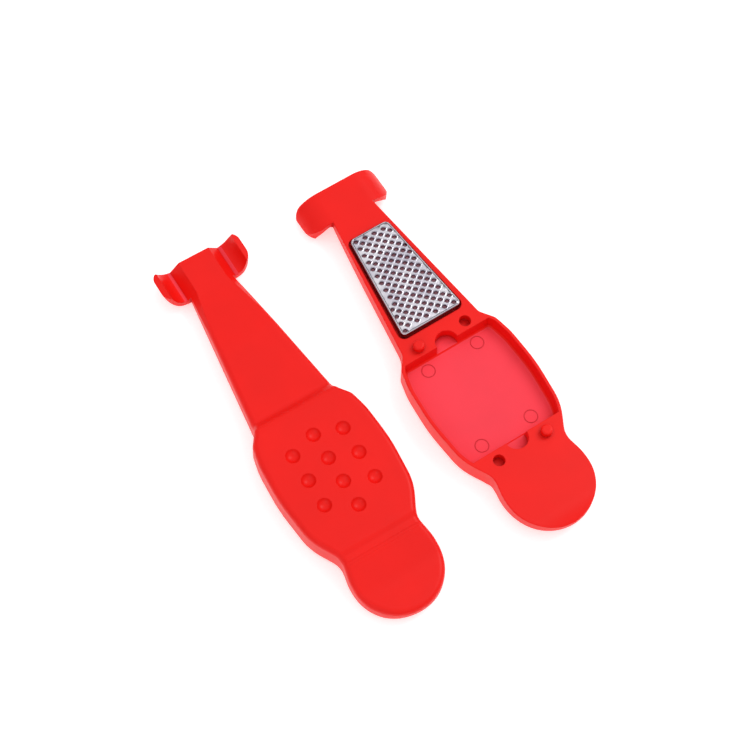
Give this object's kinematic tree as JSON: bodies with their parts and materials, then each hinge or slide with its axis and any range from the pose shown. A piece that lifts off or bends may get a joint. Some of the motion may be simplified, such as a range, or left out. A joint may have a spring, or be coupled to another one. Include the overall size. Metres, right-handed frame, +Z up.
{
  "type": "tyre lever and patch case with rasp",
  "caption": "Two moulded hook-ended levers that peg together face to face around a patch compartment, with a pierced metal rasp set in one stem.",
  "frame": {"origin": "centre of the pair's footprint, on the surface that both halves rest on", "axes": "+Y along the levers from tail to hook, +X across from the front half to the back half, +Z up out of the back half's mating face"},
  "size_m": [0.0912, 0.1364, 0.0114],
  "materials": {
    "moulding": "satin moulded polyamide",
    "rasp_steel": "bright stamped stainless sheet",
    "foam_pad": "closed-cell foam"
  },
  "bodies": {
    "back_half": {"back_lever": "moulding", "rasp_plate": "rasp_steel", "rasp_pad": "foam_pad"},
    "front_half": {"front_lever": "moulding"}
  },
  "joints": [
    {"name": "front_half_lift", "type": "slide", "parent": "back_half", "child": "front_half", "axis": [0, 0, 1], "range_m": [0, 0.05]}
  ]
}
